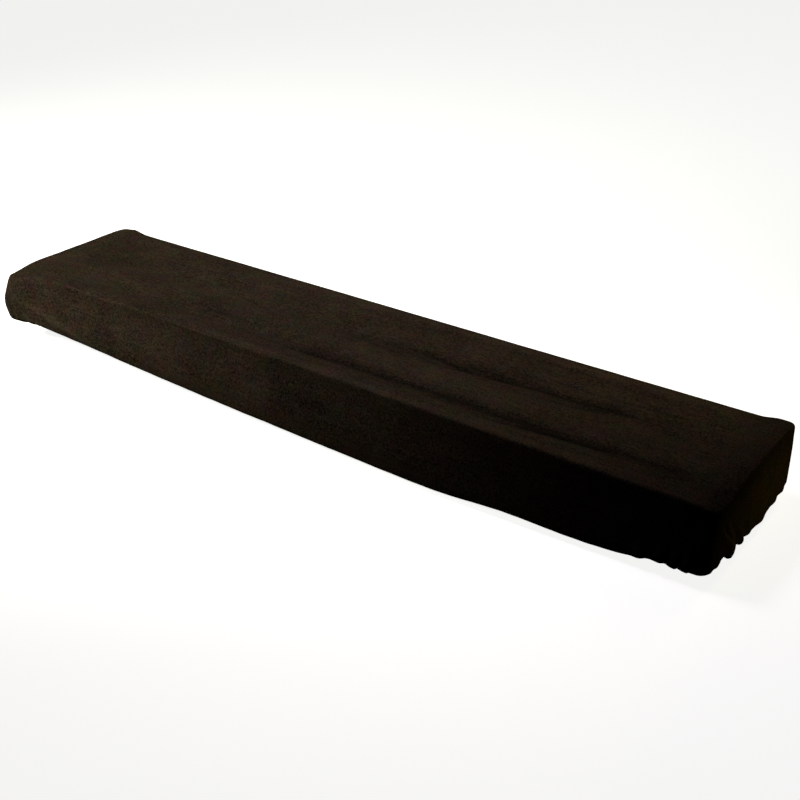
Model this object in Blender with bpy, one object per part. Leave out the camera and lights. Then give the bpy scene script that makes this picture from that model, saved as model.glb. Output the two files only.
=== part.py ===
"""Fitted stretch cover for a full-length keyboard instrument, hanging as it does on one.

One cloth: a nearly flat top, four walls, and a hem that an elastic edge draws under. Metres, +Z up.
The origin is on the underside of the top, halfway along, on the flat strip that lies on the
instrument's panel. +X runs to the player's right and +Y to the back, so the front wall faces -Y.
"""

import math

import bmesh
import bpy

# Outer sizes of the cover
LENGTH = 1.356
DEPTH = 0.312
CLOTH_THICKNESS = 0.0016

# The origin's distance behind the front wall, on the flat strip over the panel
PANEL_LINE = 0.240

# Rounding of the plan's corners, of the shoulder round the top, and of the bend above the hem
CORNER_RADIUS = 0.014
SHOULDER_RADIUS = 0.008
BEND_RADIUS = 0.009
HEM_CORNER_RADIUS = 0.034
HEM_LIP = 0.006

# The instrument's end blocks hold the cloth up; between them it sinks to the keys and the panel
END_BLOCK_RISE = 0.0045
KEYS_HALF_LENGTH = 0.611
PANEL_HALF_LENGTH = 0.636
SINK_RUN = 0.034
FRONT_CORNER_DIP = 0.004
FRONT_CORNER_REACH = 0.045
SHOULDER_LEVEL = CLOTH_THICKNESS + END_BLOCK_RISE

# Height of the cloth over the panel, from the front edge to the back, between the end blocks:
# it dips over the white keys, rises over the black ones, and falls to the panel behind them.
# The cloth is slack enough to follow the keys at the right, and nearly bridges them at the left.
TOP_SECTION = (
    # from_front, rise_left, rise_right
    (0.014, 0.0044, 0.0043),
    (0.030, 0.0041, 0.0040),
    (0.046, 0.0035, 0.0031),
    (0.062, 0.0026, 0.0014),
    (0.076, 0.0018, 0.0000),
    (0.088, 0.0018, 0.0012),
    (0.108, 0.0021, 0.0025),
    (0.130, 0.0020, 0.0028),
    (0.148, 0.0013, 0.0018),
    (0.164, 0.0006, 0.0007),
    (0.182, 0.0000, 0.0000),
    (0.222, 0.0000, 0.0000),
    (0.260, 0.0000, 0.0000),
    (0.298, 0.0000, 0.0000),
)
LEFT_SECTION_END = -0.42
RIGHT_SECTION_START = 0.02

# The hem's lowest line round the cover: drop below the top, outward swell of the wall, and tuck under
HEM_LINE = (
    # side, along, drop, swell, tuck
    ("front", -0.662, 0.0910, 0.0000, 0.020),
    ("front", -0.600, 0.0860, 0.0015, 0.024),
    ("front", -0.480, 0.0915, 0.0030, 0.026),
    ("front", -0.300, 0.1020, 0.0050, 0.028),
    ("front", -0.120, 0.1110, 0.0060, 0.028),
    ("front", 0.060, 0.1195, 0.0060, 0.028),
    ("front", 0.240, 0.1265, 0.0050, 0.028),
    ("front", 0.360, 0.1215, 0.0045, 0.027),
    ("front", 0.480, 0.1240, 0.0035, 0.026),
    ("front", 0.545, 0.1215, 0.0025, 0.024),
    ("front", 0.605, 0.1135, 0.0015, 0.022),
    ("front", 0.660, 0.1130, 0.0000, 0.020),
    ("right", -0.142, 0.1105, 0.0000, 0.018),
    ("right", -0.100, 0.1050, 0.0008, 0.019),
    ("right", -0.052, 0.1090, 0.0012, 0.020),
    ("right", 0.000, 0.1160, 0.0020, 0.022),
    ("right", 0.035, 0.1190, 0.0020, 0.022),
    ("right", 0.080, 0.1140, 0.0015, 0.021),
    ("right", 0.142, 0.1060, 0.0000, 0.019),
    ("back", 0.660, 0.1040, 0.0000, 0.020),
    ("back", 0.480, 0.1110, 0.0030, 0.025),
    ("back", 0.180, 0.1180, 0.0050, 0.028),
    ("back", -0.140, 0.1140, 0.0060, 0.028),
    ("back", -0.440, 0.1030, 0.0040, 0.026),
    ("back", -0.660, 0.0920, 0.0000, 0.020),
    ("left", 0.142, 0.0915, 0.0000, 0.019),
    ("left", 0.000, 0.0960, 0.0020, 0.022),
    ("left", -0.142, 0.0900, 0.0000, 0.018),
)

# Pleats where the elastic bunches the spare cloth near the corners. Each stands out by depth at the hem
# and hangs lower by drop, is twice width across, fades up the wall over its run, and leans as it rises.
PLEATS = (
    # side, along, width, depth, drop, run, lean
    ("front", 0.646, 0.009, 0.0034, 0.0010, 0.046, 0.10),
    ("front", 0.629, 0.009, 0.0030, 0.0022, 0.040, 0.10),
    ("front", 0.606, 0.012, 0.0026, 0.0008, 0.036, 0.15),
    ("front", 0.576, 0.014, 0.0020, 0.0012, 0.030, 0.15),
    ("front", -0.645, 0.010, 0.0028, 0.0012, 0.040, -0.10),
    ("front", -0.618, 0.012, 0.0024, 0.0010, 0.034, -0.15),
    ("right", -0.128, 0.010, 0.0040, 0.0010, 0.066, -0.20),
    ("right", -0.106, 0.009, 0.0040, 0.0000, 0.070, -0.35),
    ("right", -0.074, 0.021, 0.0062, 0.0105, 0.064, -0.50),
    ("right", -0.040, 0.013, 0.0050, 0.0055, 0.050, -0.50),
    ("right", -0.012, 0.014, 0.0028, 0.0010, 0.036, -0.30),
    ("right", 0.040, 0.020, 0.0030, 0.0022, 0.036, 0.10),
    ("right", 0.086, 0.014, 0.0024, 0.0010, 0.032, 0.20),
    ("right", 0.124, 0.012, 0.0030, 0.0012, 0.044, 0.20),
    ("back", 0.645, 0.011, 0.0032, 0.0012, 0.046, 0.10),
    ("back", 0.616, 0.012, 0.0028, 0.0010, 0.038, 0.15),
    ("back", -0.640, 0.012, 0.0034, 0.0014, 0.048, -0.10),
    ("back", -0.606, 0.014, 0.0026, 0.0010, 0.036, -0.15),
    ("left", 0.122, 0.012, 0.0032, 0.0014, 0.044, 0.20),
    ("left", 0.092, 0.013, 0.0028, 0.0010, 0.038, 0.20),
    ("left", -0.092, 0.013, 0.0030, 0.0012, 0.040, -0.20),
    ("left", -0.122, 0.011, 0.0034, 0.0014, 0.046, -0.20),
)

# Mesh steps: lines across the top and down the upper walls, and finer ones where there are pleats
LENGTH_STEP = 0.050
END_LINES = (0.020, 0.042, 0.066, 0.092)
CORNER_STEPS = 3
PLEAT_STEP = 0.0058
PLAIN_STEP = 0.030
UPPER_WALL_SHARES = (0.30, 0.52)
LOWER_WALL_SHARES = (0.70, 0.86)
CLOTH_COLOUR = (0.020, 0.015, 0.011, 1.0)

SIDES = ("front", "right", "back", "left")
INNER_HALF_LENGTH = LENGTH / 2 - CORNER_RADIUS
INNER_HALF_DEPTH = DEPTH / 2 - CORNER_RADIUS


def eased(share):
    """0 before 0, 1 after 1, and a smooth step between."""
    share = min(1.0, max(0.0, share))
    return share * share * (3 - 2 * share)


def smooth_through(rows, at, closed_over=None):
    """The value at a place on a smooth curve through rows of (place, value)."""
    if closed_over:
        at = at % closed_over
        last, first = rows[-1], rows[0]
        rows = ((last[0] - closed_over, last[1]), *rows, (first[0] + closed_over, first[1]))
    at = min(max(at, rows[0][0]), rows[-1][0])
    i = next(k for k in range(1, len(rows)) if at <= rows[k][0])
    (a, low), (b, high) = rows[i - 1], rows[i]
    before = rows[max(i - 2, 0)]
    after = rows[min(i + 1, len(rows) - 1)]
    slope_in = (high - before[1]) / (b - before[0])
    slope_out = (after[1] - low) / (after[0] - a)
    run = b - a
    t = (at - a) / run
    return (
        (2 * t**3 - 3 * t**2 + 1) * low
        + (t**3 - 2 * t**2 + t) * run * slope_in
        + (3 * t**2 - 2 * t**3) * high
        + (t**3 - t**2) * run * slope_out
    )


def section_rise(x, from_front):
    """Height over the panel across the top, between the end blocks."""
    at = min(max(from_front, TOP_SECTION[0][0]), TOP_SECTION[-1][0])
    i = next(k for k in range(1, len(TOP_SECTION)) if at <= TOP_SECTION[k][0])
    (a, left_a, right_a), (b, left_b, right_b) = TOP_SECTION[i - 1], TOP_SECTION[i]
    share = (at - a) / (b - a)
    left = left_a + (left_b - left_a) * share
    right = right_a + (right_b - right_a) * share
    return left + (right - left) * eased((x - LEFT_SECTION_END) / (RIGHT_SECTION_START - LEFT_SECTION_END))


def top_level(x, y):
    """Height of the cloth's outer skin on the top."""
    from_front = y + DEPTH / 2
    towards_back = eased(from_front / DEPTH)
    half = KEYS_HALF_LENGTH + (PANEL_HALF_LENGTH - KEYS_HALF_LENGTH) * towards_back
    between_blocks = eased((half - abs(x)) / SINK_RUN + 0.5)
    sunk = section_rise(x, from_front)
    corner_gap = math.hypot(INNER_HALF_LENGTH - abs(x), INNER_HALF_DEPTH + y)
    dip = FRONT_CORNER_DIP * eased(1 - corner_gap / FRONT_CORNER_REACH)
    return SHOULDER_LEVEL + (sunk - END_BLOCK_RISE) * between_blocks - dip


class Station:
    """A line down the wall: its side, or the corner after that side, and how far along it lies."""

    def __init__(self, side, share, turn=None):
        self.side, self.share, self.turn = side, share, turn

    def plan(self, inset, radius):
        """Plan point and outward direction on the outline drawn in by inset, with corners of radius."""
        half_x = LENGTH / 2 - inset - radius
        half_y = DEPTH / 2 - inset - radius
        quarter = SIDES.index(self.side)
        angle = math.radians(-90 + 90 * quarter + 90 * (self.turn or 0))
        out = (math.cos(angle), math.sin(angle))
        along = self.share if self.turn is None else 1.0
        spots = {
            "front": (half_x * along, -half_y),
            "right": (half_x, half_y * along),
            "back": (-half_x * along, half_y),
            "left": (-half_x, -half_y * along),
        }
        x, y = spots[self.side]
        return (x + out[0] * radius, y + out[1] * radius), out

    def side_place(self):
        """Where it lies along its side, in metres, as the tables count it."""
        half = INNER_HALF_LENGTH if self.side in ("front", "back") else INNER_HALF_DEPTH
        sign = 1 if self.side in ("front", "right") else -1
        return sign * half * (self.share if self.turn is None else 1.0)

    def round_place(self):
        """Where it lies round the cover, counted from the front wall's left end."""
        return round_place(self.side, self.side_place()) + (self.turn or 0) * CORNER_ARC


CORNER_ARC = CORNER_RADIUS * math.pi / 2
SIDE_STARTS = (
    0.0,
    2 * INNER_HALF_LENGTH + CORNER_ARC,
    2 * INNER_HALF_LENGTH + 2 * INNER_HALF_DEPTH + 2 * CORNER_ARC,
    4 * INNER_HALF_LENGTH + 2 * INNER_HALF_DEPTH + 3 * CORNER_ARC,
)
ROUND_LENGTH = 4 * (INNER_HALF_LENGTH + INNER_HALF_DEPTH + CORNER_ARC)


def round_place(side, along):
    """A place along a side as a distance round the cover."""
    half = INNER_HALF_LENGTH if side in ("front", "back") else INNER_HALF_DEPTH
    sign = 1 if side in ("front", "right") else -1
    return SIDE_STARTS[SIDES.index(side)] + half + sign * along


HEM_DROP = tuple((round_place(side, along), drop) for side, along, drop, _, _ in HEM_LINE)
HEM_SWELL = tuple((round_place(side, along), swell) for side, along, _, swell, _ in HEM_LINE)
HEM_TUCK = tuple((round_place(side, along), tuck) for side, along, _, _, tuck in HEM_LINE)


def round_gap(a, b):
    """Signed distance from b to a, the short way round the cover."""
    return (a - b + ROUND_LENGTH / 2) % ROUND_LENGTH - ROUND_LENGTH / 2


def pleat_share(row, place, above_hem):
    """How fully a place lies on a pleat: 1 along its ridge, 0 past its sides."""
    side, along, width, _, _, _, lean = row
    sign = 1 if side in ("front", "right") else -1
    off = abs(round_gap(place, round_place(side, along) + sign * lean * above_hem)) / width
    return math.cos(off * math.pi / 2) ** 2 if off < 1 else 0.0


def pleat_out(place, above_hem):
    """How far the pleats push the cloth out, at a place round the cover and a height over the hem."""
    out = 0.0
    for row in PLEATS:
        _, _, _, depth, _, run, _ = row
        out += depth * pleat_share(row, place, above_hem) * eased(1 - above_hem / run)
    return out


def hem_drop(place):
    """How far the hem hangs below the top at a place round the cover."""
    hanging = sum(row[4] * pleat_share(row, place, 0.0) for row in PLEATS)
    return smooth_through(HEM_DROP, place, ROUND_LENGTH) + hanging


def length_shares():
    """Places of the lines along a long side, closer together near the corners."""
    ends = [INNER_HALF_LENGTH - line for line in END_LINES]
    middle = ends[-1]
    count = round(2 * middle / LENGTH_STEP)
    inner = [-middle + 2 * middle * k / count for k in range(1, count)]
    places = [-INNER_HALF_LENGTH, *[-e for e in ends], *inner, *reversed(ends), INNER_HALF_LENGTH]
    return [place / INNER_HALF_LENGTH for place in places]


def depth_shares():
    """Places of the lines along a short side, on the rows of the top's section."""
    return [(from_front - DEPTH / 2) / INNER_HALF_DEPTH for from_front, *_ in TOP_SECTION]


def side_shares(side):
    shares = length_shares() if side in ("front", "back") else depth_shares()
    return shares if side in ("front", "right") else [-share for share in reversed(shares)]


def coarse_stations():
    """The lines round the cover that the top and the upper walls share."""
    stations = []
    for side in SIDES:
        shares = side_shares(side)
        stations += [Station(side, share) for share in shares[:-1]]
        stations += [Station(side, 1.0, k / CORNER_STEPS) for k in range(CORNER_STEPS)]
    return stations


def near_pleat(place):
    return any(
        abs(round_gap(place, round_place(side, along))) < 2 * width
        for side, along, width, *_ in PLEATS
    )


def between(a, b, share):
    """A station between two neighbours."""
    if a.turn is not None:
        end = b.turn if b.turn is not None else 1.0
        return Station(a.side, 1.0, a.turn + (end - a.turn) * share)
    end = b.share if b.turn is None else 1.0
    return Station(a.side, a.share + (end - a.share) * share)


def fine_stations(coarse):
    """For each coarse station, itself and those put between it and the next, for the lower walls."""
    groups = []
    for a, b in zip(coarse, coarse[1:] + coarse[:1]):
        gap = round_gap(b.round_place(), a.round_place())
        middle = a.round_place() + gap / 2
        step = PLEAT_STEP if near_pleat(middle) else PLAIN_STEP
        count = max(1, round(gap / step))
        groups.append([a, *[between(a, b, k / count) for k in range(1, count)]])
    return groups


def top_mesh(mesh):
    """The top as a grid of lines, out to where the shoulder starts."""
    xs = [INNER_HALF_LENGTH * share for share in length_shares()]
    ys = [INNER_HALF_DEPTH * share for share in depth_shares()]
    grid = [[mesh.verts.new((x, y, top_level(x, y))) for y in ys] for x in xs]
    for left, right in zip(grid, grid[1:]):
        for j in range(len(ys) - 1):
            mesh.faces.new((left[j], right[j], right[j + 1], left[j + 1]))
    return grid


def top_edge(grid):
    """The grid's outer points, one for each coarse station, with a corner's point repeated."""
    front = [column[0] for column in grid]
    right = list(grid[-1])
    back = [column[-1] for column in reversed(grid)]
    left = list(reversed(grid[0]))
    loop = []
    for side in (front, right, back, left):
        loop += side[:-1] + [side[-1]] * CORNER_STEPS
    return loop


def join_rings(mesh, upper, lower):
    """Faces between two rings of the same count; a repeated point makes its face a triangle."""
    count = len(upper)
    for k in range(count):
        n = (k + 1) % count
        corners = [upper[k], lower[k], lower[n], upper[n]]
        kept = [v for i, v in enumerate(corners) if v is not corners[i - 1]]
        mesh.faces.new(kept)


def join_finer(mesh, upper, groups):
    """Faces from a coarse ring to a finer one, as a fan from each end of every coarse step."""
    count = len(upper)
    for k in range(count):
        n = (k + 1) % count
        lower = [*groups[k], groups[n][0]]
        middle = len(lower) // 2
        for i in range(len(lower) - 1):
            mesh.faces.new((upper[k] if i < middle else upper[n], lower[i], lower[i + 1]))
        mesh.faces.new((upper[k], lower[middle], upper[n]))


def wall_point(station, share):
    """A point of the wall, share of the way from the shoulder to the bend above the hem."""
    place = station.round_place()
    drop = hem_drop(place)
    (edge_x, edge_y), _ = station.plan(CORNER_RADIUS, 0)
    start = top_level(edge_x, edge_y) - SHOULDER_RADIUS
    end = SHOULDER_LEVEL - drop + BEND_RADIUS
    z = start + (end - start) * share
    swell = smooth_through(HEM_SWELL, place, ROUND_LENGTH) * math.sin(math.pi * share / 2) ** 2
    out_by = swell + pleat_out(place, z - end)
    (x, y), _ = station.plan(-out_by, CORNER_RADIUS + out_by)
    return (x, y, z)


def hem_point(station, turn, tucked):
    """A point past the wall: turn of the bend done, from 0 to 1, then tucked of the way to the lip."""
    place = station.round_place()
    drop = hem_drop(place)
    swell = smooth_through(HEM_SWELL, place, ROUND_LENGTH)
    tuck = smooth_through(HEM_TUCK, place, ROUND_LENGTH)
    out_by = pleat_out(place, 0.0)
    angle = turn * math.pi / 2
    inset = BEND_RADIUS * (1 - math.cos(angle)) - swell - out_by * math.cos(angle) + tuck * tucked
    z = SHOULDER_LEVEL - drop + BEND_RADIUS * (1 - math.sin(angle))
    z += 0.4 * tuck * tucked**1.5
    grown = max(0.0, inset) / (BEND_RADIUS + tuck)
    radius = CORNER_RADIUS + (HEM_CORNER_RADIUS - CORNER_RADIUS) * min(1.0, grown)
    (x, y), _ = station.plan(inset, radius)
    return (x, y, z)


def shoulder_ring(mesh, stations, turn):
    """A ring on the shoulder's quarter turn, from the top at 0 to the wall at 1."""
    angle = turn * math.pi / 2
    inset = SHOULDER_RADIUS * (1 - math.sin(angle))
    ring = []
    for station in stations:
        (edge_x, edge_y), _ = station.plan(CORNER_RADIUS, 0)
        (x, y), _ = station.plan(inset, CORNER_RADIUS - inset)
        z = top_level(edge_x, edge_y) - SHOULDER_RADIUS * (1 - math.cos(angle))
        ring.append(mesh.verts.new((x, y, z)))
    return ring


def cover_mesh():
    """The cover's outer skin, from the middle of the top out to the lip of the hem."""
    mesh = bmesh.new()
    stations = coarse_stations()
    ring = top_edge(top_mesh(mesh))
    for turn in (0.0, 0.4, 0.7, 1.0):
        lower = shoulder_ring(mesh, stations, turn)
        join_rings(mesh, ring, lower)
        ring = lower
    for share in UPPER_WALL_SHARES:
        lower = [mesh.verts.new(wall_point(station, share)) for station in stations]
        join_rings(mesh, ring, lower)
        ring = lower

    groups = fine_stations(stations)
    first, *rest = LOWER_WALL_SHARES
    fine = [[mesh.verts.new(wall_point(s, first)) for s in group] for group in groups]
    join_finer(mesh, ring, fine)
    ring = [vertex for group in fine for vertex in group]
    stations = [station for group in groups for station in group]
    for share in (*rest, 1.0):
        lower = [mesh.verts.new(wall_point(station, share)) for station in stations]
        join_rings(mesh, ring, lower)
        ring = lower
    for turn, tucked in ((0.5, 0.0), (1.0, 0.0), (1.0, 0.55), (1.0, 1.0)):
        lower = [mesh.verts.new(hem_point(station, turn, tucked)) for station in stations]
        join_rings(mesh, ring, lower)
        ring = lower
    lip = []
    for vertex in ring:
        x, y, z = vertex.co
        lip.append(mesh.verts.new((x, y, z + HEM_LIP)))
    join_rings(mesh, ring, lip)
    bmesh.ops.translate(mesh, vec=(0, DEPTH / 2 - PANEL_LINE, 0), verts=mesh.verts)
    return mesh


def cloth_material():
    material = bpy.data.materials.new("black_stretch_cloth")
    material.use_nodes = True
    shader = material.node_tree.nodes["Principled BSDF"]
    shader.inputs["Base Color"].default_value = CLOTH_COLOUR
    shader.inputs["Roughness"].default_value = 0.9
    shader.inputs["Metallic"].default_value = 0.0
    return material


def add_cover():
    mesh = cover_mesh()
    data = bpy.data.meshes.new("cover_cloth")
    mesh.to_mesh(data)
    mesh.free()
    cover = bpy.data.objects.new("cover_cloth", data)
    bpy.context.scene.collection.objects.link(cover)
    data.materials.append(cloth_material())
    data.shade_smooth()
    wall = cover.modifiers.new("cloth_thickness", "SOLIDIFY")
    wall.thickness = CLOTH_THICKNESS
    wall.offset = -1.0
    wall.use_even_offset = True
    wall.use_rim = True
    return cover


def main():
    for old in list(bpy.data.objects):
        bpy.data.objects.remove(old, do_unlink=True)
    add_cover()


main()
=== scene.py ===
import math

import bmesh
import bpy
from mathutils import Matrix, Vector, noise


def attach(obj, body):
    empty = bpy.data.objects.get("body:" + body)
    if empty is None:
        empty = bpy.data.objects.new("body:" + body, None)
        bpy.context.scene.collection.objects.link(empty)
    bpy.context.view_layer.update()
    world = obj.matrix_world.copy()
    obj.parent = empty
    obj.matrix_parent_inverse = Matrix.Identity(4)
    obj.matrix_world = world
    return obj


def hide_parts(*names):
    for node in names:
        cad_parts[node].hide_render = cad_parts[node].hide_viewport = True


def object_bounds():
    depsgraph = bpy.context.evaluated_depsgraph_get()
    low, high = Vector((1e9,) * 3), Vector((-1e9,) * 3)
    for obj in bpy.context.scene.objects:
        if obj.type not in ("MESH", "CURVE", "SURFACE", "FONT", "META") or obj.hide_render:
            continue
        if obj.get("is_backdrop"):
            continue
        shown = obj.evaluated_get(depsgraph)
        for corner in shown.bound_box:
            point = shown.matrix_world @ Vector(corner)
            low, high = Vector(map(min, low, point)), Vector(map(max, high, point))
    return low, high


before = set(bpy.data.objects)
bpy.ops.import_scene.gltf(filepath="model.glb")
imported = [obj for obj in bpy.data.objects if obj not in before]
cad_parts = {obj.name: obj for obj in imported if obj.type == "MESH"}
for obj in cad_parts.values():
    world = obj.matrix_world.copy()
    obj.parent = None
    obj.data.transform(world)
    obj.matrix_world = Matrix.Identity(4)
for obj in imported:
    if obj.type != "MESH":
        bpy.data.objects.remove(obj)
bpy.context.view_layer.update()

# The cover's own sizes, in metres, as its solid has them
cover = {
    "length": 1.356,
    "depth": 0.312,
    "panelLine": 0.240,  # the origin's distance behind the front wall
    "thickness": 0.0012,
    "cornerRadius": 0.014,
    "shoulderRadius": 0.0038,
    "bendRadius": 0.009,
    "hemCornerRadius": 0.034,
    "hemLip": 0.006,
    "topThickness": 0.0016,
    "endBlockRise": 0.0045,
    "keysHalfLength": 0.611,
    "panelHalfLength": 0.636,
    "sinkRun": 0.034,
    "sinkRunLeftFront": 0.130,  # the step at that end is softer
    "leftStepFade": (0.03, 0.10),  # how far from the back that softening starts, and its run
    "cornerDip": {"left": 0.006, "right": 0.0043},
    "cornerReach": {"left": 0.070, "right": 0.085},
    "backRoll": 0.0010,
    "leftRoll": 0.0020,
    "rollRuns": {"right": 0.012, "back": 0.010, "left": 0.014},  # how far in each roll starts
    "leftBulge": (0.0070, 0.090),  # how far the front left corner bellies out, and over what reach
    "flatSheet": (0.600, 1.600),  # what the cloth was cut to, with the hem's turn
    "flatArea": 0.890,
}

# Height over the panel across the top: fromFront, then in mm at each of the places along the cover
sectionPlaces = (-0.60, -0.30, 0.10, 0.34, 0.60)
topSection = (
    (0.014, 9.2, 8.4, 6.3, 4.4, 0.7), (0.026, 9.6, 8.8, 6.8, 4.7, 0.8), (0.036, 9.0, 7.8, 5.6, 3.8, 0.5),
    (0.048, 7.6, 6.0, 3.4, 1.8, -0.2), (0.062, 5.8, 4.2, 1.0, -0.4, -0.9), (0.074, 4.4, 3.0, 0.0, -1.0, -1.1),
    (0.088, 3.6, 2.9, 1.5, 0.6, -0.5), (0.108, 2.8, 3.2, 3.5, 2.8, 0.3), (0.130, 2.2, 2.8, 4.2, 3.8, 0.7),
    (0.148, 1.4, 1.8, 3.2, 3.2, 0.5), (0.166, 0.7, 0.8, 1.0, 0.9, 0.1), (0.184, 0.1, 0.0, -0.2, -0.3, 0.0),
    (0.222, 0.0, 0.0, 0.0, 0.0, 0.0), (0.298, 0.0, 0.0, 0.0, 0.0, 0.0),
)

# How far the top's front edge is drawn back behind the hem, along the cover
frontPull = (
    (-0.678, 0.003), (-0.610, 0.011), (-0.450, 0.014), (-0.200, 0.0095), (0.040, 0.0064), (0.200, 0.0040),
    (0.300, 0.0022), (0.400, 0.0014), (0.460, 0.0000), (0.550, 0.0000), (0.600, 0.0012), (0.630, -0.0010),
    (0.655, 0.0010), (0.678, 0.0016),
)

# The top's right edge: fromFront, how far it stands out past the wall's foot, and how far it rolls down
rightEdge = (
    (0.000, 0.0030, 0.0048), (0.050, 0.0030, 0.0048), (0.080, 0.0020, 0.0030), (0.110, 0.0008, 0.0014),
    (0.150, -0.0010, 0.0002), (0.200, -0.0028, 0.0000), (0.250, -0.0038, 0.0000), (0.285, -0.0026, 0.0000),
    (0.312, -0.0004, 0.0000),
)

# The hem's lowest line: side, along, drop below the top, outward swell, tuck under
hemLine = (
    ("front", -0.662, 0.0908, 0.0006, 0.020), ("front", -0.634, 0.0862, 0.0008, 0.022),
    ("front", -0.600, 0.0860, 0.0015, 0.024), ("front", -0.480, 0.0915, 0.0030, 0.026),
    ("front", -0.300, 0.1020, 0.0050, 0.028),
    ("front", -0.120, 0.1110, 0.0060, 0.028), ("front", 0.060, 0.1195, 0.0060, 0.028),
    ("front", 0.240, 0.1265, 0.0050, 0.028), ("front", 0.360, 0.1215, 0.0045, 0.027),
    ("front", 0.480, 0.1240, 0.0035, 0.026), ("front", 0.545, 0.1215, 0.0025, 0.024),
    ("front", 0.605, 0.1135, 0.0015, 0.022), ("front", 0.660, 0.1146, 0.0004, 0.019),
    ("right", -0.142, 0.1128, 0.0006, 0.017), ("right", -0.100, 0.1082, 0.0012, 0.018),
    ("right", -0.052, 0.1090, 0.0012, 0.020), ("right", 0.000, 0.1160, 0.0020, 0.022),
    ("right", 0.035, 0.1168, 0.0020, 0.022), ("right", 0.080, 0.1116, 0.0015, 0.021),
    ("right", 0.142, 0.1052, 0.0000, 0.019),
    ("back", 0.660, 0.1040, 0.0000, 0.020), ("back", 0.480, 0.1110, 0.0030, 0.025),
    ("back", 0.180, 0.1180, 0.0050, 0.028), ("back", -0.140, 0.1140, 0.0060, 0.028),
    ("back", -0.440, 0.1030, 0.0040, 0.026), ("back", -0.660, 0.0920, 0.0000, 0.020),
    ("left", 0.142, 0.0915, 0.0000, 0.019), ("left", 0.000, 0.0960, 0.0020, 0.022),
    ("left", -0.142, 0.0898, 0.0006, 0.018),
)

# Pleats where the elastic bunches the spare cloth: side, along, width, depth, drop, run, lean
pleats = (
    ("front", 0.646, 0.009, 0.0034, 0.0010, 0.046, 0.10), ("front", 0.629, 0.009, 0.0030, 0.0022, 0.040, 0.10),
    ("front", 0.606, 0.012, 0.0026, 0.0008, 0.036, 0.15), ("front", 0.576, 0.014, 0.0020, 0.0012, 0.030, 0.15),
    ("front", -0.645, 0.010, 0.0028, 0.0012, 0.040, -0.10), ("front", -0.618, 0.012, 0.0024, 0.0010, 0.034, -0.15),
    ("right", -0.122, 0.016, 0.0022, 0.0006, 0.040, -0.30),
    ("right", -0.078, 0.025, 0.0052, 0.0100, 0.052, -0.60), ("right", -0.040, 0.014, 0.0040, 0.0055, 0.040, -0.60),
    ("right", -0.010, 0.017, 0.0018, 0.0010, 0.030, -0.30), ("right", 0.040, 0.022, 0.0024, 0.0022, 0.034, 0.10),
    ("right", 0.090, 0.018, 0.0018, 0.0010, 0.030, 0.20), ("right", 0.124, 0.014, 0.0024, 0.0012, 0.040, 0.20),
    ("back", 0.645, 0.011, 0.0032, 0.0012, 0.046, 0.10), ("back", 0.616, 0.012, 0.0028, 0.0010, 0.038, 0.15),
    ("back", -0.640, 0.012, 0.0034, 0.0014, 0.048, -0.10), ("back", -0.606, 0.014, 0.0026, 0.0010, 0.036, -0.15),
    ("left", 0.122, 0.012, 0.0032, 0.0014, 0.044, 0.20), ("left", 0.092, 0.013, 0.0028, 0.0010, 0.038, 0.20),
    ("left", -0.092, 0.013, 0.0030, 0.0012, 0.040, -0.20), ("left", -0.122, 0.011, 0.0034, 0.0014, 0.046, -0.20),
)

# Creases on the top: height in mm (below 0 is a trough), the widths of its front and back slopes in mm,
# then its line as (x, fromFront) in mm
topCreases = (
    (-1.10, 9.0, 7.0, ((-189, 70), (-130, 63), (-70, 61), (2, 65.5), (116, 70), (230, 72.8), (366, 72.8),
                       (480, 70), (611, 69.4))),
    (-1.58, 5.0, 4.5, ((275, 34), (348, 46), (411, 57), (493, 63))),
    (-1.05, 4.5, 4.5, ((175, 46), (243, 61))),
    (-0.73, 5.0, 5.0, ((357, 19), (411, 26), (493, 31.5))),
    (-0.84, 4.5, 4.5, ((-89, 58), (-70, 61), (2, 68))),
    (-1.58, 5.0, 5.0, ((107, 184), (139, 175), (175, 163.6), (207, 161.6), (257, 168),
                       (320, 177), (357, 177), (411, 182), (484, 182))),
    (-1.05, 5.0, 5.0, ((2, 160), (84, 149), (184, 155))),
    (-1.26, 5.0, 5.0, ((275, 143), (348, 150), (389, 154), (434, 172))),
    (-1.05, 4.5, 4.5, ((230, 217), (293, 209), (330, 209))),
    (-1.16, 4.5, 4.5, ((320, 220), (393, 218), (457, 220), (539, 226))),
    (-1.16, 5.0, 5.0, ((211, 275), (320, 274), (393, 272), (439, 262), (520, 265.5))),
    (-1.05, 4.5, 4.5, ((30, 260), (61, 274), (93, 278))),
    (-0.84, 4.0, 4.0, ((66, 215), (93, 215))),
    (-0.95, 4.5, 4.5, ((134, 215), (189, 209))),
    (-1.26, 5.0, 5.0, ((-380, 214), (-352, 226), (-307, 236))),
    (-0.84, 4.5, 4.5, ((-289, 214), (-270, 214))),
    (-1.26, 5.0, 5.0, ((-284, 184), (-243, 175), (-198, 163))),
    (-0.95, 4.5, 4.5, ((-325, 146), (-293, 139))),
    (-0.95, 4.5, 4.5, ((-461, 75), (-416, 80))),
    (-0.84, 4.5, 4.5, ((-302, 65), (-270, 65))),
)

# Gathers on the right wall that run down to one knot in the hem: outward mm, half width mm, then (y, z) in mm,
# both counted from the middle of the cover
wallFolds = (
    (3.0, 3.2, ((-129, -35), (-118, -50), (-105, -65), (-86, -80), (-70, -90))),
    (-1.8, 4.6, ((-118, -36), (-104, -52), (-90, -68), (-77, -82))),
    (2.8, 3.0, ((-107, -40), (-91, -58), (-75, -76), (-71, -88))),
    (-1.4, 4.4, ((-94, -44), (-80, -60), (-67, -74), (-63, -88))),
    (0.9, 4.6, ((-72, -58), (-60, -70), (-54, -82), (-52, -92))),
)

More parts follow.
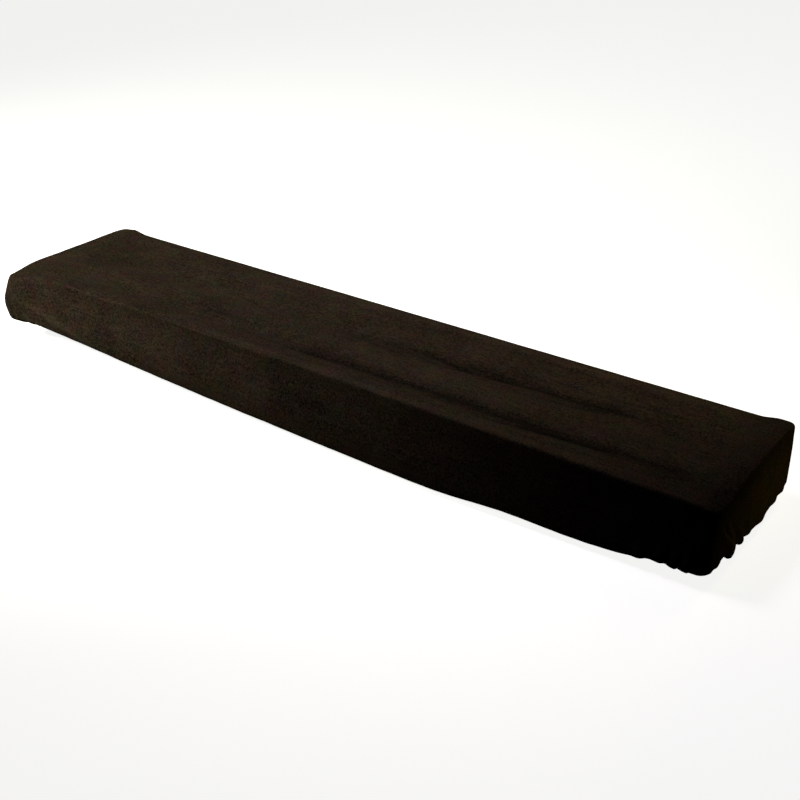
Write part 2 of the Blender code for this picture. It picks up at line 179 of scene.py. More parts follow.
# One slack fold low on the front wall's left: outward mm, half width mm, then (x, z) in mm
frontFolds = (
    (2.4, 6.0, ((-612, -46), (-565, -58), (-538, -62), (-500, -69))),
    (-1.2, 9.0, ((-600, -34), (-560, -44), (-520, -52))),
    (-1.6, 30.0, ((-70, -38), (-20, -46), (60, -52))),
)

sides = ("front", "right", "back", "left")
innerLength = cover["length"] / 2 - cover["cornerRadius"]
innerDepth = cover["depth"] / 2 - cover["cornerRadius"]
sideHalves = (innerLength, innerDepth, innerLength, innerDepth)
cornerArc = cover["cornerRadius"] * math.pi / 2
sideStarts = tuple(sum(2 * half + cornerArc for half in sideHalves[:k]) for k in range(4))
roundLength = sideStarts[3] + 2 * innerDepth + cornerArc
shoulderLevel = cover["topThickness"] + cover["endBlockRise"]


def eased(share):
    share = min(1.0, max(0.0, share))
    return share * share * (3 - 2 * share)


def smoothThrough(rows, at, closedOver=None):
    # the value at a place on a smooth curve through rows of (place, value)
    if closedOver:
        at %= closedOver
        first, last = rows[0], rows[-1]
        rows = ((last[0] - closedOver, last[1]), *rows, (first[0] + closedOver, first[1]))
    at = min(max(at, rows[0][0]), rows[-1][0])
    i = next(k for k in range(1, len(rows)) if at <= rows[k][0])
    (a, low), (b, high) = rows[i - 1], rows[i]
    before, after = rows[max(i - 2, 0)], rows[min(i + 1, len(rows) - 1)]
    slopeIn = (high - before[1]) / (b - before[0])
    slopeOut = (after[1] - low) / (after[0] - a)
    run = b - a
    t = (at - a) / run
    return ((2 * t**3 - 3 * t**2 + 1) * low + (t**3 - 2 * t**2 + t) * run * slopeIn
            + (3 * t**2 - 2 * t**3) * high + (t**3 - t**2) * run * slopeOut)


rightLeans = tuple((row[0], row[1]) for row in rightEdge)
rightRolls = tuple((row[0], row[2]) for row in rightEdge)
sections = tuple(tuple((row[0], row[k + 1] * 0.001) for row in topSection) for k in range(len(sectionPlaces)))


def baseTop(x, y):
    # the top without its creases, as the solid has it
    x = max(-innerLength, min(innerLength, x))
    y = max(-innerDepth, min(innerDepth, y))
    fromFront = y + cover["depth"] / 2
    widening = cover["panelHalfLength"] - cover["keysHalfLength"]
    half = cover["keysHalfLength"] + widening * eased(fromFront / cover["depth"])
    run = cover["sinkRun"]
    if x < 0:
        clear, fade = cover["leftStepFade"]
        run += (cover["sinkRunLeftFront"] - run) * eased((cover["depth"] - clear - fromFront) / fade)
    betweenBlocks = eased((half - abs(x)) / run + 0.5)
    sunk = smoothThrough(tuple((at, smoothThrough(rows, fromFront)) for at, rows in zip(sectionPlaces, sections)), x)
    cornerGap = math.hypot(innerLength - abs(x), innerDepth + y)
    end = "left" if x < 0 else "right"
    dip = cover["cornerDip"][end] * eased(1 - cornerGap / cover["cornerReach"][end])
    if x > 0:
        dip += smoothThrough(rightRolls, fromFront) * eased(1 - (innerLength - x) / cover["rollRuns"]["right"])
    backShare = eased(1 - (innerDepth - y) / cover["rollRuns"]["back"])
    leftShare = eased(1 - (innerLength + x) / cover["rollRuns"]["left"])
    dip += cover["backRoll"] * backShare + cover["leftRoll"] * leftShare
    return shoulderLevel + (sunk - cover["endBlockRise"]) * betweenBlocks - dip


pulls = {
    "frontRun": 0.060,  # how far in from the front, and down from the top, the pull fades out
    "frontDrop": 0.085,
    "rightRun": 0.050,  # and how far in and down from the right edge the lean does
    "rightDrop": 0.060,
}


def pulled(x, y, z):
    # leans the upper front of the cover back, and its right edge out or in
    fromFront = y + cover["depth"] / 2
    low = shoulderLevel - z
    back = smoothThrough(frontPull, x) * eased(1 - fromFront / pulls["frontRun"]) * eased(1 - low / pulls["frontDrop"])
    if x > 0:
        lean = smoothThrough(rightLeans, fromFront) * eased(1 - (cover["length"] / 2 - x) / pulls["rightRun"])
        x += lean * eased(1 - low / pulls["rightDrop"])
    return x, y + back, z


def lineGap(line, x, y):
    # signed distance to a line of points, above 0 on its back side, and how near its ends
    best, at = None, 0.0
    spans = [math.dist(a, b) for a, b in zip(line, line[1:])]
    total, done = sum(spans), 0.0
    for (a, b), span in zip(zip(line, line[1:]), spans):
        dx, dy = (b[0] - a[0]) / span, (b[1] - a[1]) / span
        along = max(0.0, min(span, (x - a[0]) * dx + (y - a[1]) * dy))
        offX, offY = x - a[0] - dx * along, y - a[1] - dy * along
        gap = math.hypot(offX, offY)
        if best is None or gap < abs(best):
            best = math.copysign(gap, dx * offY - dy * offX)
            at = min(done + along, total - done - along)
        done += span
    return best, at


def ridge(line, height, front, back, x, y, fade):
    gap, fromEnd = lineGap(line, x, y)
    width = front if gap < 0 else back
    if abs(gap) > 3 * width:
        return 0.0
    return height * math.exp(-((gap / width) ** 2)) * eased(0.25 + fromEnd / fade)


creaseFade = {
    "reach": 20,  # how far past its line a crease is looked for, in mm
    "ends": 30.0,  # how it dies away at its ends, in mm
    "edge": 0.012,  # and towards the top's edge, in metres
}


def creaseRise(x, y):
    # the creases at a place on the top
    fromFront = y + cover["depth"] / 2
    xMm, yMm = x * 1000, fromFront * 1000
    rise = 0.0
    reach = creaseFade["reach"]
    for height, front, back, line in topCreases:
        xs, ys = [p[0] for p in line], [p[1] for p in line]
        if min(xs) - reach < xMm < max(xs) + reach and min(ys) - reach < yMm < max(ys) + reach:
            rise += ridge(line, height, front, back, xMm, yMm, creaseFade["ends"])
    edge = min(innerDepth - abs(y), innerLength - abs(x))
    return rise * 0.001 * eased(edge / creaseFade["edge"] + 0.2)


def planPoint(place, inset, radius):
    # a place round the cover on its outline drawn in by inset, with corners of radius
    place %= roundLength
    side = max(k for k in range(4) if sideStarts[k] <= place + 1e-9)
    run = place - sideStarts[side]
    share = min(1.0, run / sideHalves[side] - 1)
    turn = max(0.0, (run - 2 * sideHalves[side]) / cornerArc)
    halfX = cover["length"] / 2 - inset - radius
    halfY = cover["depth"] / 2 - inset - radius
    angle = math.radians(-90 + 90 * side + 90 * turn)
    x, y = ((halfX * share, -halfY), (halfX, halfY * share), (-halfX * share, halfY), (-halfX, -halfY * share))[side]
    return x + math.cos(angle) * radius, y + math.sin(angle) * radius


def roundPlace(side, along):
    k = sides.index(side)
    return sideStarts[k] + sideHalves[k] + (along if k < 2 else -along)


def roundGap(a, b):
    return (a - b + roundLength / 2) % roundLength - roundLength / 2


hemDrops = tuple((roundPlace(row[0], row[1]), row[2]) for row in hemLine)
hemSwells = tuple((roundPlace(row[0], row[1]), row[3]) for row in hemLine)
hemTucks = tuple((roundPlace(row[0], row[1]), row[4]) for row in hemLine)
pleatPlaces = tuple((roundPlace(side, along), 1 if sides.index(side) < 2 else -1, *rest)
                    for side, along, *rest in pleats)


def pleatShare(row, place, aboveHem):
    at, sign, width, _, _, _, lean = row
    off = abs(roundGap(place, at + sign * lean * aboveHem)) / width
    return math.cos(off * math.pi / 2) ** 2 if off < 1 else 0.0


def pleatOut(place, aboveHem):
    return sum(row[3] * pleatShare(row, place, aboveHem) * eased(1 - aboveHem / row[5]) for row in pleatPlaces)


def hemDrop(place):
    pleated = sum(row[4] * pleatShare(row, place, 0.0) for row in pleatPlaces)
    return smoothThrough(hemDrops, place, roundLength) + pleated


shirring = {
    "out": 0.0011,  # how far the small gathers stand out at the hem, near the corners
    "drop": 0.0007,
    "midShare": 0.40,  # how much of that is left in the middle of the long walls
    "run": 0.030,
    "nearCorner": 0.12,
}


def cornerNearness(place):
    gaps = [abs(roundGap(place, start - cornerArc / 2)) for start in sideStarts]
    return eased(1 - (min(gaps) - 0.03) / shirring["nearCorner"])


def shirr(place, seed):
    # uneven small gathers along the elastic, finer near the corners
    near = cornerNearness(place) * (0.55 if innerLength < place < sideStarts[2] else 1.0)
    fine = noise.noise(Vector((place / 0.0085, seed, 0.0)))
    broad = noise.noise(Vector((place / 0.019, seed, 4.0)))
    return near * fine * 1.1 + (1 - near) * broad * shirring["midShare"] * 1.4


def edgeLevel(place):
    # the height of the top's edge
    x, y = planPoint(place, cover["cornerRadius"], 0)
    return baseTop(*pulled(x, y, shoulderLevel)[:2])


def wallPoint(place, share):
    # a point of the wall, share of the way from the shoulder down to the bend
    start = edgeLevel(place) - cover["shoulderRadius"]
    end = shoulderLevel - hemDrop(place) + cover["bendRadius"]
    z = start + (end - start) * share
    outBy = smoothThrough(hemSwells, place, roundLength) * math.sin(math.pi * share / 2) ** 2
    outBy += pleatOut(place, z - end)
    bulge, reach = cover["leftBulge"]
    outBy += bulge * eased(1 - abs(roundGap(place, -cornerArc / 2)) / reach) * math.sin(math.pi * share)
    outBy += shirring["out"] * shirr(place, 1.5) * eased(1 - (z - end) / shirring["run"]) ** 2
    x, y = planPoint(place, -outBy, cover["cornerRadius"] + outBy)
    if abs(roundGap(place, sideStarts[1] + innerDepth)) < innerDepth + 0.01:
        rise = sum(ridge(line, height, half, half, y * 1000, z * 1000, 14.0) for height, half, line in wallFolds)
        x += rise * 0.001
    elif place < sideStarts[1] and (x < -0.45 or abs(x) < 0.20):
        y -= 0.001 * sum(ridge(line, height, half, half, x * 1000, z * 1000, 30.0) for height, half, line in frontFolds)
    return pulled(x, y, z)


turnedHem = {
    "lift": 0.4,  # how far the tucked cloth climbs, as a share of the tuck
    "liftPower": 1.5,
    "channel": (0.0010, 0.45, 0.10),  # the stitched channel: height, place in the tuck, half width
}


def hemPoint(place, turn, tucked):
    # past the wall: turn of the bend done, then tucked of the way to the lip
    swell = smoothThrough(hemSwells, place, roundLength)
    tuck = smoothThrough(hemTucks, place, roundLength)
    outBy = pleatOut(place, 0.0) + shirring["out"] * shirr(place, 1.5)
    angle = turn * math.pi / 2
    inset = cover["bendRadius"] * (1 - math.cos(angle)) - swell - outBy * math.cos(angle) + tuck * tucked
    lifted = turnedHem["lift"] * tuck * tucked**turnedHem["liftPower"]
    z = shoulderLevel - hemDrop(place) + cover["bendRadius"] * (1 - math.sin(angle)) + lifted
    z += shirring["drop"] * shirr(place, 7.5) * turn * (1 + 1.2 * tucked)
    height, middle, half = turnedHem["channel"]
    z += height * math.exp(-(((tucked - middle) / half) ** 2)) * (turn == 1.0)
    grown = max(0.0, inset) / (cover["bendRadius"] + tuck)
    radius = cover["cornerRadius"] + (cover["hemCornerRadius"] - cover["cornerRadius"]) * min(1.0, grown)
    x, y = planPoint(place, inset, radius)
    return x, y, z


def shoulderPoint(place, turn):
    angle = turn * math.pi / 2
    inset = cover["shoulderRadius"] * (1 - math.sin(angle))
    x, y = planPoint(place, inset, cover["cornerRadius"] - inset)
    z = edgeLevel(place) - cover["shoulderRadius"] * (1 - math.cos(angle))
    return pulled(x, y, z)


def spread(*runs):
    # places from the first run's start, each run given as (end, step)
    at = [runs[0][0]]
    for end, step in runs[1:]:
        start = at[-1]
        count = max(1, round((end - start) / step))
        at += [start + (end - start) * k / count for k in range(1, count + 1)]
    return at


flatX = cover["length"] / 2 - cover["shoulderRadius"]
flatY = cover["depth"] / 2 - cover["shoulderRadius"]
flatCorner = cover["cornerRadius"] - cover["shoulderRadius"]
halfXs = spread((0.0,), (0.560, 0.0090), (innerLength, 0.0036), (flatX, flatCorner / 4))
gridXs = [-x for x in reversed(halfXs[1:])] + halfXs
gridYs = spread((-flatY,), (-innerDepth, flatCorner / 4), (-0.126, 0.0040), (-0.072, 0.0027), (-0.010, 0.0036),
                (0.074, 0.0029), (innerDepth, 0.0036), (flatY, flatCorner / 4))


def roundedCorner(x, y):
    # bends the grid's square corners to the cover's rounded ones
    overX, overY = abs(x) - innerLength, abs(y) - innerDepth
    if overX <= 0 or overY <= 0:
        return x, y
    out = max(overX, overY)
    angle = math.pi / 4 * (overY / overX if overX >= overY else 2 - overX / overY)
    turnedX, turnedY = innerLength + out * math.cos(angle), innerDepth + out * math.sin(angle)
    return math.copysign(turnedX, x), math.copysign(turnedY, y)


def placeOf(x, y):
    # how far round the cover a point of the top's edge lies
    overX, overY = abs(x) - innerLength, abs(y) - innerDepth
    if overX > 1e-7 and overY > 1e-7:
        corner = {(1, -1): 0, (1, 1): 1, (-1, 1): 2, (-1, -1): 3}[(1 if x > 0 else -1, 1 if y > 0 else -1)]
        angle = math.degrees(math.atan2(math.copysign(overY, y), math.copysign(overX, x)))
        turn = ((angle + 90 - 90 * corner) % 360) / 90
        return sideStarts[corner] + 2 * sideHalves[corner] + turn * cornerArc
    if overY > overX:
        return roundPlace("front" if y < 0 else "back", x)
    return roundPlace("right" if x > 0 else "left", y)


def topGrid(mesh):
    countX, countY = len(gridXs) - 1, len(gridYs) - 1
    bmesh.ops.create_grid(mesh, x_segments=countX, y_segments=countY, size=0.5)
    for vertex in mesh.verts:
        x = gridXs[round((vertex.co.x + 0.5) * countX)]
        y = gridYs[round((vertex.co.y + 0.5) * countY)]
        x, y = roundedCorner(x, y)
        x, y, _ = pulled(x, y, shoulderLevel)
        vertex.co = (x, y, baseTop(x, y) + creaseRise(x, y))


def nextRing(mesh, edges, place, fallen, shape, *how):
    # draws the open edge down by one ring and puts its points where shape says
    made = bmesh.ops.extrude_edge_only(mesh, edges=edges)["geom"]
    for vertex in (v for v in made if isinstance(v, bmesh.types.BMVert)):
        old = vertex.co.copy()
        vertex.co = shape(vertex[place], *how)
        vertex[fallen] += (vertex.co - old).length
    return [e for e in made if isinstance(e, bmesh.types.BMEdge) and e.is_boundary]


def splitRing(mesh, edges, place, fallen, shape, *how):
    # a new point in the middle of each edge of the ring, for finer work below
    made = bmesh.ops.subdivide_edges(mesh, edges=edges, cuts=1)["geom_inner"]
    fresh = [v for v in made if isinstance(v, bmesh.types.BMVert)]
    for vertex in fresh:
        ends = [e.other_vert(vertex) for e in vertex.link_edges if e.is_boundary]
        vertex[place] = (ends[0][place] + roundGap(ends[1][place], ends[0][place]) / 2) % roundLength
        vertex[fallen] = (ends[0][fallen] + ends[1][fallen]) / 2
        vertex.co = shape(vertex[place], *how)
    return [e for e in mesh.edges if e.is_boundary]


paintedShades = {
    # painted shade: soft dark bands where shade falls in the cloth's own hollows, and painted highlights below 0:
    # darkness, half width mm, line in mm
    "onTop": (  # (x, fromFront)
        (0.46, 16.0, ((-120, 72), (0, 73), (100, 71), (180, 69), (260, 66), (340, 63),
                      (420, 61), (500, 66), (620, 74))),
        (0.42, 13.0, ((200, 63), (240, 62), (340, 62), (420, 60), (500, 66))),
        (0.80, 20.0, ((560, 48), (650, 54))),
        (0.60, 21.0, ((-70, 172), (40, 176), (120, 178), (200, 178), (300, 180), (400, 179), (520, 187))),
        (0.22, 12.0, ((-420, 110), (-320, 104), (-200, 96), (-90, 84))),
        (0.30, 40.0, ((-650, 165), (-560, 170), (-470, 160))),
        (-0.42, 9.0, ((-260, 20), (-100, 18), (60, 15), (240, 13), (420, 12), (560, 14))),
        (-0.22, 24.0, ((-60, 112), (120, 112), (300, 110), (460, 108))),
        (-0.30, 9.0, ((-400, 293), (-100, 294), (300, 294), (600, 292))),
    ),
    "onFront": (  # (x, z)
        (-0.40, 12.0, ((-690, -68), (-630, -74), (-570, -84))),
        (-0.80, 3.6, ((-640, -40), (-612, -46), (-565, -58), (-538, -62), (-500, -69), (-470, -74))),
        (0.45, 11.0, ((-46, -42), (0, -49), (50, -52))),
        (0.16, 34.0, ((60, -46), (200, -50), (330, -50), (460, -50))),
    ),
    "onRight": (  # (y, z)
        (-1.60, 2.0, ((-129, -35), (-118, -50), (-105, -65), (-86, -80), (-70, -90))),
        (-1.60, 2.0, ((-107, -40), (-91, -58), (-75, -76), (-71, -88))),
        (0.50, 4.0, ((-118, -36), (-104, -52), (-90, -68), (-77, -82))),
    ),
    # painted shade in the creases, under the right edge, near its front corner and on its rolled edge
    "creases": 0.26,  # darkness for each millimetre of a crease's depth
    "underEdge": (0.30, 0.74, 0.010, 0.040),  # at the back, at the front, how far down it is full, its fade below
    "rightCorner": (0.75, 0.008, 0.034),
    "rightRoll": 0.60,
}


def paintedShadeAt(x, y, z, fallen):
    # painted shade: how much darker the cloth's colour is made in its hollows, creases, under the right edge and on its
    # roll; below 0 it is a painted highlight
    xMm, zMm, fromFront = x * 1000, z * 1000, y + cover["depth"] / 2
    dark = 0.0
    # painted shade on the rolled-down right edge
    if x > innerLength - 0.010 and fallen < 0.006:
        rolled = paintedShades["rightRoll"] * smoothThrough(rightRolls, fromFront) / rightEdge[0][2]
        dark += rolled * eased((x - innerLength + 0.010) / 0.014)
    # painted shade and painted highlights in bands on the top, and painted shade in its creases
    if z > -0.012:
        for strength, half, line in paintedShades["onTop"]:
            if line[0][0] - 60 < xMm < line[-1][0] + 60:
                dark += ridge(line, strength, half, half, xMm, fromFront * 1000, 160.0)
        dark -= creaseRise(x, y) * 1000 * paintedShades["creases"]
    # painted shade and painted highlights on the front wall
    elif y < -innerDepth:
        dark += sum(ridge(line, strength, half, half, xMm, zMm, 80.0) for strength, half, line in paintedShades["onFront"])
    # painted shade under the right edge and near its front corner, and painted highlights on the right wall's folds
    if x > innerLength and fallen > 0:
        back, front, full, run = paintedShades["underEdge"]
        forward = eased((innerDepth - y) / (1.6 * innerDepth))
        dark += (back + (front - back) * forward) * eased(1 - (fallen - full) / run) * eased(fallen / 0.005)
        strength, full, run = paintedShades["rightCorner"]
        nearFront = strength * eased(1 - (fromFront - full) / run)
        dark += nearFront * eased(1 - (fallen - 0.062) / 0.025) * eased(fallen / 0.008)
        dark += sum(ridge(line, strength, half, half, y * 1000, zMm, 14.0) for strength, half, line in paintedShades["onRight"])
    return dark


# puts the painted shade and painted highlights on each point of the cover, for its colour
def markPaintedShade(mesh, fallen):
    paintedShade = mesh.verts.layers.float.new("paintedShade")
    for vertex in mesh.verts:
        vertex[paintedShade] = paintedShadeAt(*vertex.co, vertex[fallen])


def markUvs(mesh, place, fallen):
    # the knit's own lengthwise and crosswise measures, in metres
    uv = mesh.loops.layers.uv.new("knit")
    for face in mesh.faces:
        onTop = all(v[fallen] < 1e-6 for v in face.verts)
        if onTop:
            for loop in face.loops:
                loop[uv].uv = loop.vert.co.xy
            continue
        first = face.verts[0][place]
        middle = first + sum(roundGap(v[place], first) for v in face.verts) / len(face.verts)
        side = min(range(4), key=lambda k: abs(roundGap(middle, sideStarts[k] + sideHalves[k])) - sideHalves[k])
        for loop in face.loops:
            along = roundGap(loop.vert[place], sideStarts[side] + sideHalves[side]) * (1 if side < 2 else -1)
            out = loop.vert[fallen]
            spots = ((along, -flatY - out), (flatX + out, along), (along, flatY + out), (-flatX - out, along))
            loop[uv].uv = spots[side]


# Corners that the cloth rounds off softly: middle, reach, how many passes
softCorners = (
    ((-0.672, -0.150, 0.002), 0.056, 30), ((-0.630, -0.140, 0.008), 0.040, 14), ((-0.590, -0.140, 0.010), 0.036, 11),
    ((-0.545, -0.140, 0.010), 0.034, 9), ((-0.500, -0.140, 0.010), 0.032, 7), ((-0.450, -0.140, 0.010), 0.030, 5),
    ((-0.400, -0.140, 0.010), 0.028, 4), ((-0.350, -0.140, 0.010), 0.026, 3),
    ((-0.672, 0.150, 0.004), 0.024, 5),
    ((0.672, 0.150, 0.004), 0.024, 5),
    ((0.672, -0.150, -0.003), 0.022, 4),
)


def roundOff(mesh):
    for middle, reach, passes in softCorners:
        middle = Vector(middle)
        near = [(v, (v.co - middle).length) for v in mesh.verts if (v.co - middle).length < reach]
        for k in range(passes):
            some = [v for v, gap in near if gap < reach * (1 - k / passes)]
            if some:
                bmesh.ops.smooth_vert(mesh, verts=some, factor=0.5, use_axis_x=True, use_axis_y=True, use_axis_z=True)


ripples = {
    "broad": 0.00030,  # slow unevenness of the whole cloth
    "fine": 0.00016,
    "broadSize": (0.110, 0.045, 0.040),
    "fineSize": (0.040, 0.013, 0.015),
}


def rippleOut(co):
    broad = noise.noise(Vector(c / s for c, s in zip(co, ripples["broadSize"])))
    fine = noise.noise(Vector(c / s + 9.3 for c, s in zip(co, ripples["fineSize"])))
    return ripples["broad"] * broad + ripples["fine"] * fine


def coverMesh():
    mesh = bmesh.new()
    topGrid(mesh)
    place = mesh.verts.layers.float.new("place")
    fallen = mesh.verts.layers.float.new("fallen")
    ring = [e for e in mesh.edges if e.is_boundary]
    for edge in ring:
        for vertex in edge.verts:
            vertex[place] = placeOf(vertex.co.x, vertex.co.y)
    for turn in (0.25, 0.5, 0.75, 1.0):
        ring = nextRing(mesh, ring, place, fallen, shoulderPoint, turn)
    for k in range(1, 10):
        share = 0.5 * k / 9
        ring = nextRing(mesh, ring, place, fallen, wallPoint, share)
    ring = splitRing(mesh, ring, place, fallen, wallPoint, 0.5)
    for k in range(1, 9):
        ring = nextRing(mesh, ring, place, fallen, wallPoint, 0.5 + 0.5 * k / 8)
    for turn in (0.25, 0.5, 0.75, 1.0):
        ring = nextRing(mesh, ring, place, fallen, hemPoint, turn, 0.0)
    for tucked in (0.22, 0.36, 0.45, 0.54, 0.76, 1.0):
        ring = nextRing(mesh, ring, place, fallen, hemPoint, 1.0, tucked)
    lip = bmesh.ops.extrude_edge_only(mesh, edges=ring)["geom"]
    for vertex in (v for v in lip if isinstance(v, bmesh.types.BMVert)):
        vertex.co.z += cover["hemLip"]
        vertex[fallen] += cover["hemLip"]
    markUvs(mesh, place, fallen)
    roundOff(mesh)
    # the painted shade and painted highlights for the cloth's colour
    markPaintedShade(mesh, mesh.verts.layers.float["fallen"])
    bmesh.ops.recalc_face_normals(mesh, faces=mesh.faces)
    mesh.normal_update()
    moves = [(vertex, vertex.normal * rippleOut(vertex.co)) for vertex in mesh.verts]
    for vertex, move in moves:
        vertex.co += move
    bmesh.ops.translate(mesh, vec=(0, cover["depth"] / 2 - cover["panelLine"], 0), verts=mesh.verts)
    return mesh


class Wire:
    # a shader socket that can be used in sums
    def __init__(self, socket):
        self.socket = socket

    def joined(self, operation, first, second):
        tree = self.socket.id_data
        node = tree.nodes.new("ShaderNodeMath")
        node.operation = operation
        for socket, value in zip(node.inputs, (first, second)):
            plug(socket, value)
        return Wire(node.outputs[0])

    def __add__(self, other):
        return self.joined("ADD", self, other)

    def __sub__(self, other):
        return self.joined("SUBTRACT", self, other)

    def __rsub__(self, other):
        return self.joined("SUBTRACT", other, self)

    def __mul__(self, other):
        return self.joined("MULTIPLY", self, other)

    __radd__ = __add__
    __rmul__ = __mul__


def plug(socket, value):
    if isinstance(value, Wire):
        socket.id_data.links.new(value.socket, socket)
    else:
        socket.default_value = value


class Finish:
    # a material and one way to add any node to it
    def __init__(self, name):
        self.material = bpy.data.materials.new(name)
        self.material.use_nodes = True
        self.tree = self.material.node_tree
        self.shader = self.tree.nodes["Principled BSDF"]

    def node(self, kind, settings, values, output=0):
        node = self.tree.nodes.new(kind)
        for name, value in settings.items():
            setattr(node, name, value)
        for name, value in values.items():
            plug(node.inputs[name], value)
        return Wire(node.outputs[output])

    def setShader(self, values):
        for name, value in values.items():
            plug(self.shader.inputs[name], value)


cloth = {
    "dark": (0.0030, 0.0022, 0.0013, 1.0),
    "light": (0.0470, 0.0322, 0.0220, 1.0),
    "wale": 0.0011,  # width of one rib of the knit
    "course": 0.0014,
    "knitHeight": 0.00012,
    "patchScale": 9.0,
    "mottleScale": 330.0,
    "castScale": 34.0,
    "streakScale": (14.0, 210.0, 1.0),
    "specular": 0.03,
    "sheen": 0.012,
    "sheenTint": (1.0, 0.80, 0.60, 1.0),
}


def clothFinish():
    finish = Finish("blackStretchKnit")
    uv = finish.node("ShaderNodeUVMap", {"uv_map": "knit"}, {})
    spot = finish.node("ShaderNodeTexCoord", {}, {}, "Object")
    # the painted shade and painted highlights stored on the mesh
    paintedShade = finish.node("ShaderNodeAttribute", {"attribute_name": "paintedShade"}, {}, "Fac")
    patches = finish.node("ShaderNodeTexNoise", {},
                          {"Vector": spot, "Scale": cloth["patchScale"], "Detail": 3.0, "Roughness": 0.55})
    mottle = finish.node("ShaderNodeTexNoise", {},
                         {"Vector": spot, "Scale": cloth["mottleScale"], "Detail": 2.0, "Roughness": 0.65})
    cast = finish.node("ShaderNodeTexNoise", {},
                       {"Vector": spot, "Scale": cloth["castScale"], "Detail": 2.0, "Roughness": 0.65}, "Color")
    stretched = finish.node("ShaderNodeMapping", {}, {"Vector": uv, "Scale": cloth["streakScale"]})
    streaks = finish.node("ShaderNodeTexNoise", {}, {"Vector": stretched, "Scale": 1.0, "Detail": 2.0})
    parts = finish.tree.nodes.new("ShaderNodeSeparateXYZ")
    plug(parts.inputs[0], uv)
    across, down = Wire(parts.outputs[0]), Wire(parts.outputs[1])
    rib = across * (1 / cloth["wale"])
    ribShare = finish.node("ShaderNodeMath", {"operation": "PINGPONG"}, {0: rib, 1: 0.5}) * 2.0
    waves = (down * (1 / cloth["course"]) + ribShare * 0.35) * (2 * math.pi)
    loops = finish.node("ShaderNodeMath", {"operation": "SINE"}, {0: waves})
    knit = ribShare * 0.6 + loops * 0.2 + 0.2
    # the cloth's tone: random mottle, patches, streaks and knit, made darker by the painted shade and lighter by the
    # painted highlights
    tone = mottle * 2.3 + patches * 0.6 + streaks * 0.45 + knit * 0.15 - 1.25 - paintedShade * 0.5
    plain = finish.node("ShaderNodeMix", {"data_type": "RGBA"}, {"Factor": tone, 6: cloth["dark"], 7: cloth["light"]}, 2)
    colour = finish.node("ShaderNodeMix", {"data_type": "RGBA", "blend_type": "OVERLAY"},
                         {"Factor": 0.5, 6: plain, 7: cast}, 2)
    crumple = finish.node("ShaderNodeBump", {}, {"Height": mottle, "Strength": 0.35, "Distance": 0.0006})
    surface = finish.node("ShaderNodeBump", {},
                          {"Height": knit, "Strength": 0.6, "Distance": cloth["knitHeight"], "Normal": crumple})
    finish.setShader({
        "Base Color": colour,
        "Roughness": mottle * 0.12 + 0.86,
        "Specular IOR Level": cloth["specular"],
        "Sheen Weight": cloth["sheen"],
        "Sheen Roughness": 0.5,
        "Sheen Tint": cloth["sheenTint"],
        "Normal": surface,
    })
    return finish.material


def addCover():
    mesh = coverMesh()
    data = bpy.data.meshes.new("stretchCover")
    mesh.to_mesh(data)
    mesh.free()
    piece = bpy.data.objects.new("stretchCover", data)
    bpy.context.scene.collection.objects.link(piece)
    data.materials.append(clothFinish())
    data.shade_smooth()
    wall = piece.modifiers.new("clothThickness", "SOLIDIFY")
    wall.thickness = cover["thickness"]
    wall.offset = -1.0
    wall.use_even_offset = False
    wall.use_rim = True
    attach(piece, "root")
    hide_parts("cover_cloth")
    print("cover:", len(data.polygons), "faces")


studio = {
    "floorGap": 0.004,
    "floorSize": 30.0,
    "floorColour": (0.85, 0.85, 0.84, 1.0),
    "floorBrightness": 0.88,
    "roomColour": (1.0, 1.0, 0.99, 1.0),
    "roomBrightness": 0.95,
    "lens": 63.94,
    "eye": (1.1975, -1.8298, 0.9517),
    "aim": (0.1610, -0.2201, 0.0),
    "roll": 2.292,
    # position, aim, size, watts, colour, spread in degrees
    "lights": {
        "key": ((-1.296, -1.773, 1.401), (-0.90, -0.084, 0.0), 0.6, 8.9, (0.98, 0.97, 0.80), 57),
        "high": ((-0.55, -0.283, 1.715), (0.04, -0.084, 0.0), 0.6, 1.16, (1.0, 0.92, 1.05), 54),
        "lowRight": ((0.66, 0.28, 0.403), (-0.70, -0.084, 0.0), 0.5, 1.5, (1.0, 0.90, 0.56), 150),
        "floorGlow": ((1.02, 0.12, -0.065), (0.68, -0.02, -0.09), 0.09, 0.126, (1.0, 0.80, 0.15), 140),
    },
}


def lookMatrix(eye, aim, roll):
    forward = (Vector(aim) - Vector(eye)).normalized()
    right = forward.cross(Vector((0, 0, 1))).normalized()
    up = right.cross(forward)
    turn = Matrix((right, up, -forward)).transposed().to_4x4()
    return Matrix.Translation(eye) @ turn @ Matrix.Rotation(math.radians(roll), 4, "Z")


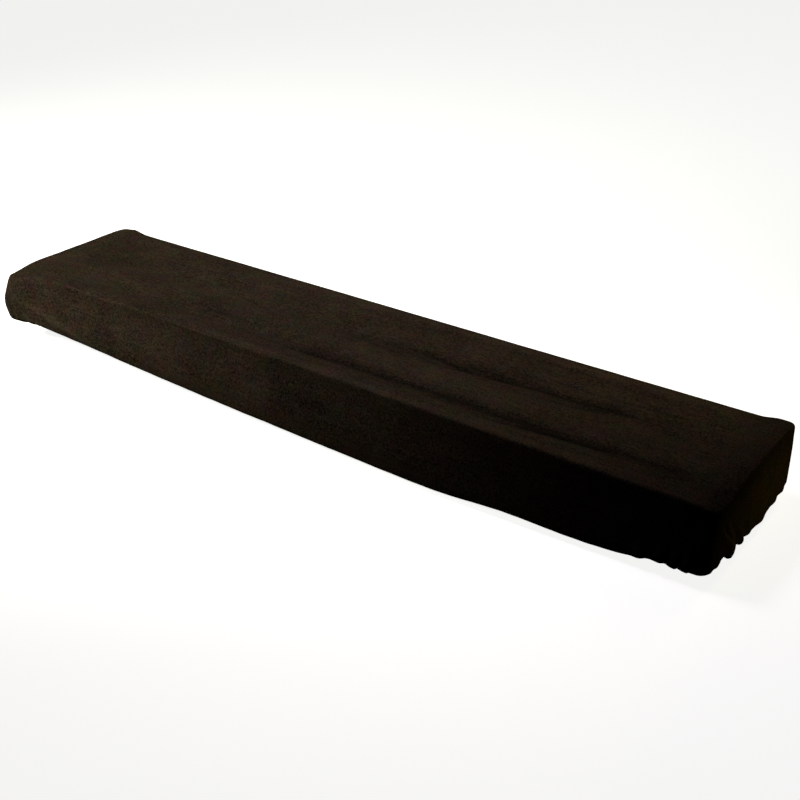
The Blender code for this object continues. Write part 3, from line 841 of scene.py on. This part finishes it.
def addCamera():
    data = bpy.data.cameras.new("photoView")
    data.sensor_width = 36.0
    data.sensor_fit = "HORIZONTAL"
    data.lens = studio["lens"]
    camera = bpy.data.objects.new("photoView", data)
    camera.matrix_world = lookMatrix(studio["eye"], studio["aim"], studio["roll"])
    bpy.context.scene.collection.objects.link(camera)
    bpy.context.scene.camera = camera


def addLights():
    for name, (eye, aim, size, watts, colour, spreadDegrees) in studio["lights"].items():
        data = bpy.data.lights.new(name, "AREA")
        data.shape = "DISK"
        data.size = size
        data.energy = watts
        data.color = colour
        data.spread = math.radians(spreadDegrees)
        light = bpy.data.objects.new(name, data)
        light.matrix_world = lookMatrix(eye, aim, 0)
        light.visible_camera = False
        bpy.context.scene.collection.objects.link(light)


def addFloor(level):
    mesh = bmesh.new()
    bmesh.ops.create_grid(mesh, x_segments=1, y_segments=1, size=studio["floorSize"] / 2)
    bmesh.ops.translate(mesh, vec=(0, 0, level), verts=mesh.verts)
    data = bpy.data.meshes.new("paleFloor")
    mesh.to_mesh(data)
    mesh.free()
    floor = bpy.data.objects.new("paleFloor", data)
    bpy.context.scene.collection.objects.link(floor)
    finish = Finish("paleFloor")
    finish.setShader({"Base Color": studio["floorColour"], "Roughness": 0.9, "Specular IOR Level": 0.0,
                      "Emission Color": studio["roomColour"], "Emission Strength": studio["floorBrightness"]})
    finish.material.cycles.emission_sampling = "NONE"
    data.materials.append(finish.material)
    floor.visible_diffuse = False
    floor.visible_glossy = False
    floor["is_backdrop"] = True


def addWorld():
    world = bpy.data.worlds.new("paleRoom")
    world.use_nodes = True
    background = world.node_tree.nodes["Background"]
    background.inputs["Color"].default_value = studio["roomColour"]
    background.inputs["Strength"].default_value = studio["roomBrightness"]
    world.cycles_visibility.diffuse = False
    world.cycles_visibility.glossy = False
    bpy.context.scene.world = world


addCamera()
addCover()
addFloor(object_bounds()[0][2] - studio["floorGap"])
addLights()
addWorld()
bpy.context.scene.view_settings.view_transform = "Standard"
print("stage: floor, lights and room")
